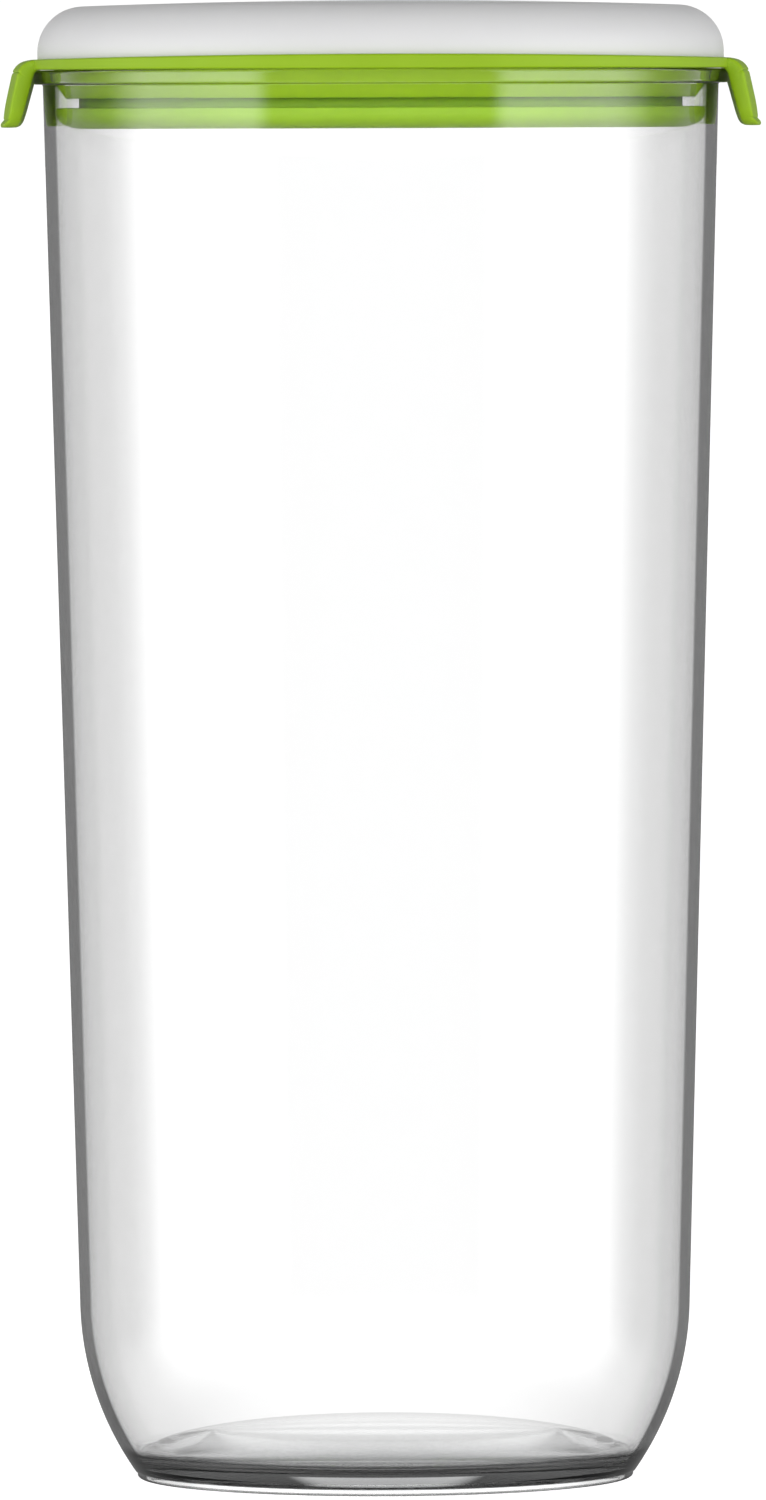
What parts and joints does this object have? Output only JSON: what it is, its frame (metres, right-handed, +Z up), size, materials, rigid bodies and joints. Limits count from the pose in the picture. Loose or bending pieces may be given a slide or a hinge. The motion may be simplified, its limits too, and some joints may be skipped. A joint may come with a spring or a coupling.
{
  "type": "snap lid food container",
  "caption": "Tall round glass storage jar with domed floor and a push-in plastic snap lid: a ring with pull tabs, a lip gasket and a frosted domed cap that lifts off.",
  "frame": {"origin": "on the surface the jar stands on, under the jar's vertical axis", "axes": "+Z up along the jar's axis, X through the two pull tabs, -Y towards the viewer at the front"},
  "size_m": [0.1294, 0.12, 0.2516],
  "materials": {
    "glass": "clear polished soda-lime glass",
    "lime_plastic": "satin moulded polypropylene, lime green",
    "lime_rubber": "soft satin silicone, deeper lime green",
    "frosted_plastic": "translucent frosted white plastic"
  },
  "bodies": {
    "jar": {"jar": "glass"},
    "lid": {"lid_collar": "lime_plastic", "lip_gasket": "lime_rubber", "plug_plate": "frosted_plastic", "dome_cap": "frosted_plastic"},
    "left_tab": {"left_pull_tab": "lime_plastic"},
    "right_tab": {"right_pull_tab": "lime_plastic"}
  },
  "joints": [
    {"name": "lid_lift", "type": "slide", "parent": "jar", "child": "lid", "axis": [0, 0, 1], "range_m": [0, 0.08]},
    {"name": "left_tab_flex", "type": "hinge", "parent": "lid", "child": "left_tab", "pos_m": [-0.0611, 0, 0.2398], "axis": [0, 1, 0], "range_deg": [-8, 70], "stiffness_Nm_per_rad": 0.05},
    {"name": "right_tab_flex", "type": "hinge", "parent": "lid", "child": "right_tab", "pos_m": [0.0611, 0, 0.2398], "axis": [0, -1, 0], "range_deg": [-8, 70], "stiffness_Nm_per_rad": 0.05}
  ]
}
